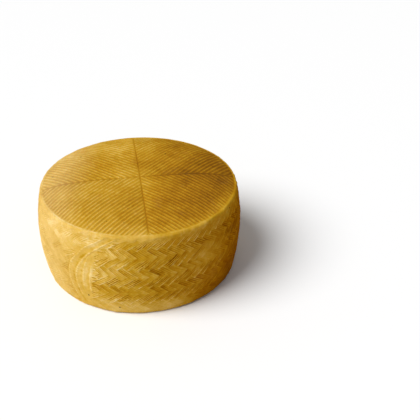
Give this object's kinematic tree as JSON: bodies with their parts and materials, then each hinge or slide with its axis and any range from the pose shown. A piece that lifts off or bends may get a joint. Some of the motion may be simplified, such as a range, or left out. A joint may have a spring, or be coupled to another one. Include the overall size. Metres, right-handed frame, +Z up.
{
  "type": "aged sheep cheese",
  "caption": "Whole round wheel of aged sheep cheese with a waxy ochre rind, a plaited print round its side and a herringbone of grooves on both faces.",
  "frame": {"origin": "middle of the wheel's box, on the surface that it rests on", "axes": "+Z up along the wheel's axis, -Y towards the folded end of the plaited print, +X to the right of it"},
  "size_m": [0.2102, 0.2114, 0.099],
  "materials": {
    "rind": "waxy natural cheese rind, satin"
  },
  "bodies": {
    "root": {"cheese_wheel": "rind"}
  },
  "joints": []
}
